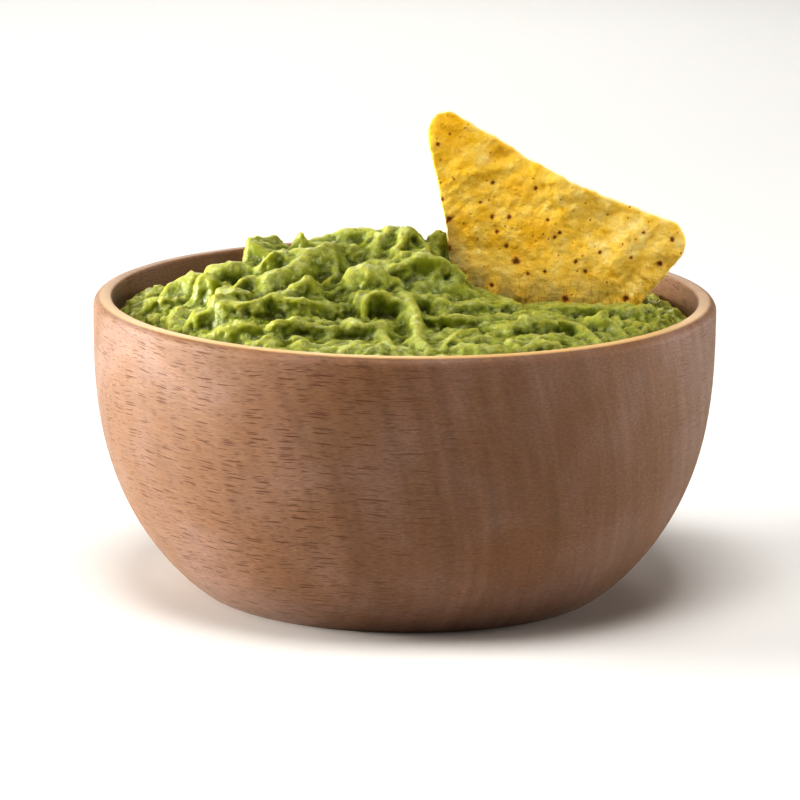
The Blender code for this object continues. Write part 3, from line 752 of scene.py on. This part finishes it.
chip = {
    "corners": [(2.7 * mm, 41.9 * mm), (61.8 * mm, 13.1 * mm), (16 * mm, -33.8 * mm)],
    "radii": [4.1 * mm, 4.8 * mm, 4.0 * mm],
    "cornerSteps": 9,
    "sideSteps": 40,
    "bows": [1.7 * mm, -1.3 * mm, 0.8 * mm],
    "edgeWobble": 0.45 * mm,
    "thickness": 1.7 * mm,
    "place": -3 * mm,
    "lean": 0.14,
    "curl": 2.2,
    "voxel": 0.36 * mm,
    "bevel": 0.55 * mm,
    "edgeBand": 1.1 * mm,
    "smallSpecks": 220,
    "speckSeed": 17,
    "speckRanges": ((4, 58), (-2, 38), (0.1, 0.26)),     # across, over the rim and radius in mm
    "soakAcross": (30 * mm, 48 * mm),
    "soakHeight": 8.5 * mm,     # how far up from the guacamole its fat and juice have drawn
    "waves": ((17 * mm, 1.5 * mm, 21), (7 * mm, 0.6 * mm, 22)),          # size, height and seed
    "blisters": ((3.2 * mm, 0.24 * mm, 23), (1.4 * mm, 0.2 * mm, 24)),   # size, height and seed
    "pitDepth": 0.12 * mm,
    "leftCurl": 0.4,            # share of the curl that the left side has
}

# long swells and creases of the sheet: from, to, width and height in mm
swells = [
    ((12, 22), (10.5, 9), 2.0, -0.45),
    ((13, 26), (22, 27.5), 1.2, 0.5),
    ((20, 29), (30, 19), 2.5, -0.4),
    ((51, 12), (47, 3), 1.4, -0.6),
    ((46, 14), (42, 4), 2.0, 0.5),
    ((30, 9), (33, -4), 1.8, 0.4),
]

# browned places: across, over the rim and radius in mm
toasted = [(8, 34, 3.0), (10, 31, 2.5), (20, 30.5, 2.2), (23, 23, 2.2), (9.5, 14, 3.0), (27, 14, 3),
           (22, 10, 2)]
scorched = [(6.5, 32, 0.5), (9, 34, 0.35), (7.5, 20.5, 0.5), (9, 16.5, 0.7), (9, 10.5, 0.7),
            (18, 24, 0.5), (27, 23, 0.5), (15.5, 20, 0.35), (18, 17, 0.5), (21.5, 17, 0.55),
            (29.5, 16.5, 0.4), (19, 14, 0.5), (31, 13, 0.45), (32, 14, 0.4), (21, 11, 0.5), (23, 8, 0.85),
            (25.5, 5.5, 0.4), (29, 6, 0.4), (35.5, 8, 0.5), (37.5, 6, 0.45), (18, 3, 0.5),
            (33.5, 0.5, 0.8), (46, 0.5, 0.75), (55.5, 12.5, 0.55), (53, 7.5, 0.65), (47, 9, 0.4),
            (40.5, 10, 0.4), (49.5, 14, 0.45)]


def cornerArc(corner, before, after, radius):
    toBefore, toAfter = (before - corner).normalized(), (after - corner).normalized()
    half = toBefore.angle(toAfter) / 2
    centre = corner + (toBefore + toAfter).normalized() * radius / math.sin(half)
    first = corner + toBefore * radius / math.tan(half) - centre
    last = corner + toAfter * radius / math.tan(half) - centre
    turn = first.angle_signed(last)
    arms = [Matrix.Rotation(-turn * step / chip["cornerSteps"], 2) @ first
            for step in range(chip["cornerSteps"] + 1)]
    return [centre + arm for arm in arms]


def chipOutline():
    corners = [Vector(corner) for corner in chip["corners"]]
    middle = sum(corners, Vector((0, 0))) / 3
    arcs = [cornerArc(corners[i], corners[i - 1], corners[(i + 1) % 3], chip["radii"][i]) for i in range(3)]
    outline = []
    for i in range(3):
        start, end = arcs[i][-1], arcs[(i + 1) % 3][0]
        inward = (middle - (start + end) / 2).normalized()
        outline += arcs[i]
        for step in range(1, chip["sideSteps"]):
            part = step / chip["sideSteps"]
            outline.append(start.lerp(end, part) + inward * chip["bows"][i] * math.sin(math.pi * part))
    wobbly = []
    for point in outline:
        flat = Vector((point.x, point.y, 0))
        sway = noise.noise(flat / (7 * mm)) + 0.5 * noise.noise(flat / (2.6 * mm))
        wobbly.append(point + (middle - point).normalized() * chip["edgeWobble"] * sway)
    return wobbly, middle


def lineDistance(points, start, end):
    start, end = np.array(start), np.array(end)
    along = end - start
    part = np.clip((points - start) @ along / (along @ along), 0, 1)
    return np.linalg.norm(points - start - part[:, None] * along, axis=1)


def spotField(points, spots):
    field = np.zeros(len(points))
    for across, up, radius in spots:
        distance = np.hypot(points[:, 0] - across * mm, points[:, 1] - up * mm)
        field = np.maximum(field, 1 - distance / (2 * radius * mm))
    return field


def fryChip():
    outline, middle = chipOutline()
    deselectAll()
    bpy.ops.mesh.primitive_circle_add(vertices=len(outline), radius=30 * mm, fill_type="NGON")
    piece = activeObject("corn_chip")
    half = chip["thickness"] / 2
    setPoints(piece, np.array([(point.x, half, rimHeight + point.y) for point in outline]))
    bpy.ops.object.mode_set(mode="EDIT")
    bpy.ops.mesh.select_all(action="SELECT")
    bpy.ops.mesh.extrude_region_move(TRANSFORM_OT_translate={"value": (0, -2 * half, 0)})
    bpy.ops.mesh.select_all(action="SELECT")
    bpy.ops.mesh.normals_make_consistent(inside=False)
    bpy.ops.mesh.bevel(offset=chip["bevel"], segments=3, affect="EDGES")
    bpy.ops.object.mode_set(mode="OBJECT")
    applyModifier(piece, "REMESH", mode="VOXEL", voxel_size=chip["voxel"], adaptivity=0.0,
                  use_smooth_shade=True)

    points, normals = getPoints(piece), getNormals(piece)
    plane = np.stack([points[:, 0], points[:, 2] - rimHeight], axis=1)
    loop = np.array([(point.x, point.y) for point in outline])
    fromEdge = np.min([lineDistance(plane, loop[i - 1], loop[i]) for i in range(len(loop))], axis=0)
    draw = np.random.default_rng(chip["speckSeed"])
    scatter = [tuple(draw.uniform(low, high) for low, high in chip["speckRanges"])
               for _ in range(chip["smallSpecks"])]
    scorch = spotField(plane, scorched + scatter)
    storeValue(piece, "edge", np.clip(1 - fromEdge / chip["edgeBand"], 0, 1))
    storeValue(piece, "scorch", scorch)
    storeValue(piece, "toast", spotField(plane + warpAt(points, 4 * mm, 27)[:, :2] * 2 * mm, toasted))
    seatAcross, seatLevel = np.array(chipSeat).T * mm
    overSeat = plane[:, 1] - np.interp(plane[:, 0], seatAcross, seatLevel)
    uneven = np.clip(0.75 + noiseAt(points, 4 * mm, 30), 0, 1)
    soaked = np.clip(1 - overSeat / chip["soakHeight"], 0, 1) * uneven
    storeValue(piece, "soaked", soaked * (1 - smoothStep(*chip["soakAcross"], plane[:, 0])))

    across, up = plane[:, 0] - middle.x, plane[:, 1]
    flat = points * np.array([1, 0, 1])
    wave = sum(noiseAt(flat, size, seed) * rise for size, rise, seed in chip["waves"])
    for start, end, width, height in swells:
        distance = lineDistance(plane, np.array(start) * mm, np.array(end) * mm)
        wave -= height * mm * np.exp(-(distance / (width * mm)) ** 2)
    blisters = sum(noiseAt(points, size, seed) * rise for size, rise, seed in chip["blisters"])
    pits = chip["pitDepth"] * np.clip(scorch, 0, 1)
    points = points + normals * (blisters - pits)[:, None]
    curl = chip["curl"] * np.where(across < 0, chip["leftCurl"], 1) * across ** 2
    points[:, 1] += chip["place"] + chip["lean"] * up + curl + wave
    setPoints(piece, points)
    return piece


def friedCorn():
    # corn masa, rolled, cut and fried: dry and golden, paler in random patches and towards its right side,
    # a thin edge band painted pale cream as a painted highlight, small scorched pits, and browned and
    # grooved where the dip has soaked into it
    material, tree = newMaterial("friedCorn")
    place = addNode(tree, "TexCoord").outputs["Object"]
    patch = addNode(tree, "TexNoise", {"Vector": place, "Scale": 1 / (3.6 * mm), "Detail": 6.0,
                                       "Roughness": 0.68})
    across = addNode(tree, "SeparateXYZ", {"Vector": place}).outputs["X"]
    # the colour moves paler towards the right side and more orange towards the left
    rightwardPaling = addNode(tree, "MapRange", {"Value": across, "From Min": 5 * mm, "From Max": 50 * mm,
                                       "To Min": -0.07, "To Max": 0.05})
    patchAndRightPaling = addNode(tree, "Math", {0: patch.outputs["Fac"], 1: rightwardPaling.outputs[0]})
    base = addNode(tree, "ValToRGB", {"Fac": patchAndRightPaling.outputs[0]},
                   ramp=[(0.32, "e6b930"), (0.44, "ebc65a"), (0.56, "efcf74"), (0.68, "f3db96")])
    toast = addNode(tree, "Attribute", attribute_name="toast").outputs["Fac"]
    browned = addNode(tree, "MapRange", {"Value": toast, "From Min": 0.1, "From Max": 0.9, "To Max": 0.7})
    golden = addNode(tree, "Mix", {0: browned.outputs[0], 6: base.outputs[0], 7: hexColour("e6b52c")},
                     data_type="RGBA")
    soaked = addNode(tree, "Attribute", attribute_name="soaked").outputs["Fac"]
    damp = addNode(tree, "Mix", {0: soaked, 6: golden.outputs[2], 7: hexColour("b0a074")}, data_type="RGBA")
    grooveSize = addNode(tree, "Mapping", {"Vector": place,
                                           "Scale": (1 / (0.55 * mm), 1 / (4 * mm), 1 / (2.6 * mm))})
    grooves = addNode(tree, "TexNoise", {"Vector": grooveSize.outputs[0], "Scale": 1.0, "Detail": 2.0})
    level = addNode(tree, "SeparateXYZ", {"Vector": place}).outputs["Z"]
    low = addNode(tree, "MapRange", {"Value": level, "From Min": rimHeight + 1 * mm,
                                     "From Max": rimHeight + 6 * mm, "To Min": 0.45, "To Max": 0.0})
    groove = addNode(tree, "MapRange", {"Value": grooves.outputs["Fac"], "From Min": 0.52, "From Max": 0.68,
                                        "To Max": low.outputs[0]})
    grooved = addNode(tree, "Mix", {0: groove.outputs[0], 6: damp.outputs[2], 7: hexColour("a06f2b")},
                      data_type="RGBA")
    edge = addNode(tree, "Attribute", attribute_name="edge").outputs["Fac"]
    # painted highlight: a thin band along the chip's edge is painted pale cream
    edgeHighlight = addNode(tree, "MapRange", {"Value": edge, "From Min": 0.72, "From Max": 0.95, "To Max": 0.8})
    pale = addNode(tree, "Mix", {0: edgeHighlight.outputs[0], 6: grooved.outputs[2], 7: hexColour("f5e0bb")},
                   data_type="RGBA")
    crumb = addNode(tree, "TexNoise", {"Vector": place, "Scale": 1 / (0.7 * mm), "Detail": 4.0})
    scorch = addNode(tree, "Attribute", attribute_name="scorch").outputs["Fac"]
    ragged = addNode(tree, "Math", {0: crumb.outputs["Fac"], 1: 0.6, 2: scorch}, operation="MULTIPLY_ADD")
    haze = addNode(tree, "MapRange", {"Value": ragged.outputs[0], "From Min": 0.45, "From Max": 0.95,
                                      "To Max": 0.55})
    hazy = addNode(tree, "Mix", {0: haze.outputs[0], 6: pale.outputs[2], 7: hexColour("c7903e")},
                   data_type="RGBA")
    spot = addNode(tree, "MapRange", {"Value": ragged.outputs[0], "From Min": 0.75, "From Max": 1.05,
                                      "To Max": 0.88})
    colour = addNode(tree, "Mix", {0: spot.outputs[0], 6: hazy.outputs[2], 7: hexColour("6b3a14")},
                     data_type="RGBA")
    grain = addNode(tree, "TexNoise", {"Vector": place, "Scale": 1 / (1.5 * mm), "Detail": 3.0,
                                       "Roughness": 0.7})
    bump = addNode(tree, "Bump", {"Height": grain.outputs["Fac"], "Strength": 1.0, "Distance": 0.4 * mm})
    shader = addNode(tree, "BsdfPrincipled", {
        "Base Color": colour.outputs[2], "Roughness": 0.65, "Normal": bump.outputs[0], "IOR": 1.4,
        "Subsurface Weight": 0.15, "Subsurface Radius": (1.0, 0.7, 0.2), "Subsurface Scale": 0.4 * mm})
    addNode(tree, "OutputMaterial", {"Surface": shader.outputs[0]})
    return material


studio = {
    "lens": 250.6,
    "distance": 18.0,        # in bowl radii
    "elevation": 12.72,
    "roll": 0.62,
    "shift": (-0.00426, 0.0495),
    "floorSize": 8,
    "floorColour": "dddbd7",
    "lampDistance": 1.0,
    "lampSize": 0.5,
    "lampAim": 0.8,          # of the rim's height
    "airStrength": 0.02,
    "airColour": "e9ebee",
}

lamps = {   # degrees round from the front, degrees up, and watts
    "keyLeft": (-93, 5, 15.5),
    "keyHigh": (-95, 25, 1.5),
    "top": (0, 75, 5.8),
    "frontLeft": (-48, 25, 1.5),
    "right": (60, 5, 1.7),
    "rightBack": (110, 5, 4.3),
    "backLeft": (-150, 22, 0.7),
    "back": (180, 22, 1.4),
}


def placeCamera():
    data = bpy.data.cameras.new("studioCamera")
    data.lens = studio["lens"]
    data.sensor_width = 36
    data.shift_x, data.shift_y = studio["shift"]
    data.clip_start, data.clip_end = 0.01, 20
    camera = bpy.data.objects.new("studioCamera", data)
    bpy.context.scene.collection.objects.link(camera)
    rise = math.radians(studio["elevation"])
    reach = studio["distance"] * rimRadius
    camera.location = (0, -reach * math.cos(rise), rimHeight / 2 + reach * math.sin(rise))
    level = Euler((math.pi / 2 - rise, 0, 0)).to_matrix()
    roll = Matrix.Rotation(math.radians(studio["roll"]), 3, "Z")
    camera.rotation_euler = (level @ roll).to_euler()
    bpy.context.scene.camera = camera


def placeLamps():
    target = Vector((0, 0, rimHeight * studio["lampAim"]))
    for name, (azimuth, elevation, watts) in lamps.items():
        data = bpy.data.lights.new(name, "AREA")
        data.shape = "SQUARE"
        data.size = studio["lampSize"]
        data.energy = watts
        lamp = bpy.data.objects.new(name, data)
        bpy.context.scene.collection.objects.link(lamp)
        turn, rise = math.radians(azimuth), math.radians(elevation)
        arm = Vector((math.sin(turn) * math.cos(rise), -math.cos(turn) * math.cos(rise), math.sin(rise)))
        lamp.location = target + arm * studio["lampDistance"]
        lamp.rotation_euler = (-arm).to_track_quat("-Z", "Y").to_euler()


def layFloor():
    deselectAll()
    bpy.ops.mesh.primitive_plane_add(size=studio["floorSize"], location=(0, 0, 0))
    floor = activeObject("studioFloor")
    material, tree = newMaterial("paperSweep")
    shader = addNode(tree, "BsdfPrincipled", {"Base Color": hexColour(studio["floorColour"]),
                                              "Roughness": 0.8})
    addNode(tree, "OutputMaterial", {"Surface": shader.outputs[0]})
    floor.data.materials.append(material)
    world = bpy.data.worlds.new("studioAir")
    bpy.context.scene.world = world
    world.use_nodes = True
    sky = world.node_tree.nodes["Background"]
    sky.inputs["Color"].default_value = hexColour(studio["airColour"])
    sky.inputs["Strength"].default_value = studio["airStrength"]


placeCamera()
placeLamps()
layFloor()
bpy.context.scene.view_settings.view_transform = "Standard"
bpy.context.scene.view_settings.look = "Very High Contrast"
print("studio ready")

bowlPiece = turnBowl()
finishPiece(bowlPiece, "bowl", oiledBeech())
print("bowl turned:", len(bowlPiece.data.polygons), "faces")

mashPiece = heapMash()
print("guacamole heaped:", len(mashPiece.data.polygons), "faces")
roughenMash(mashPiece)
closeMash(mashPiece)
measureMash(mashPiece)
finishPiece(mashPiece, "guacamole", mashedAvocado())
print("guacamole finished:", len(mashPiece.data.polygons), "faces")

chipPiece = fryChip()
finishPiece(chipPiece, "tortilla_chip", friedCorn())
print("chip fried:", len(chipPiece.data.polygons), "faces")
